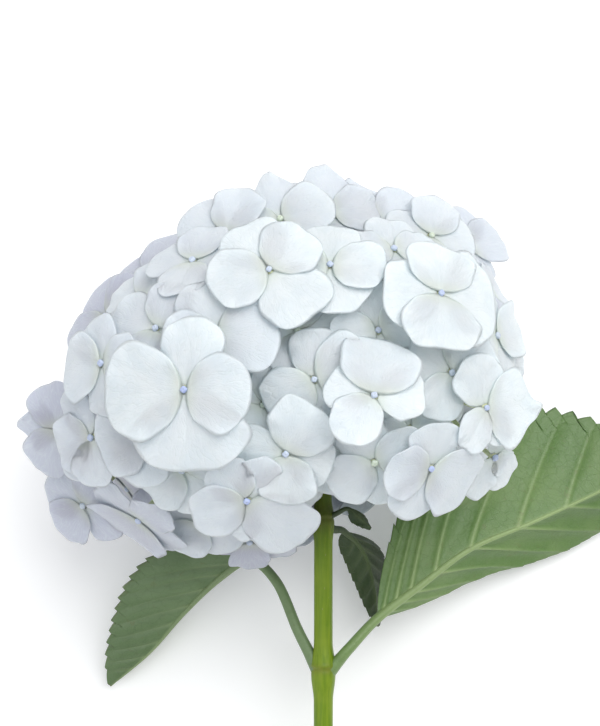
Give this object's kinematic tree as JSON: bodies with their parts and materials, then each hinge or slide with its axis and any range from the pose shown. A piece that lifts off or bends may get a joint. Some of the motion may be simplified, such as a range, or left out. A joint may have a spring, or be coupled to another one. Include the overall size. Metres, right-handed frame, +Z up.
{
  "type": "cut hydrangea",
  "caption": "Cut mophead hydrangea lying on its back: a rounded white flower head of petalled florets on a green stem with serrated leaves.",
  "frame": {"origin": "middle of the space the plant covers, on the surface it lies on", "axes": "+Y from the cut end of the stem towards the flower head, +Z up from the surface, +X to the side of the larger leaf"},
  "size_m": [0.2374, 0.2628, 0.1512],
  "materials": {
    "petal": "soft satin",
    "leaf": "semi-matte",
    "stem": "smooth green",
    "branch": "smooth pale green"
  },
  "bodies": {
    "root": {"stem": "stem", "leaf_right": "leaf", "leaf_left": "leaf", "leaf_back": "leaf", "leaf_small": "leaf", "branch_left_low": "branch", "branch_left_high": "branch", "branch_top": "branch", "branch_middle": "branch", "branch_right": "branch", "cyme_left": "petal", "cyme_right": "petal", "cyme_crown": "petal", "cyme_back_left": "petal", "cyme_back_right": "petal", "cyme_underside": "petal", "floret_01": "petal", "floret_02": "petal", "floret_03": "petal", "floret_04": "petal", "floret_05": "petal", "floret_06": "petal", "floret_07": "petal", "floret_08": "petal", "floret_09": "petal", "floret_10": "petal", "floret_11": "petal", "floret_12": "petal", "floret_13": "petal", "floret_14": "petal", "floret_15": "petal", "floret_16": "petal", "floret_17": "petal", "floret_18": "petal", "floret_19": "petal", "floret_20": "petal", "floret_21": "petal", "floret_22": "petal", "floret_23": "petal", "floret_24": "petal", "floret_25": "petal", "floret_26": "petal", "floret_27": "petal", "floret_28": "petal", "floret_29": "petal", "floret_30": "petal", "floret_31": "petal", "floret_32": "petal", "floret_33": "petal", "floret_34": "petal", "floret_35": "petal", "floret_36": "petal", "floret_37": "petal", "floret_38": "petal", "floret_39": "petal", "floret_40": "petal", "floret_41": "petal"}
  },
  "joints": []
}
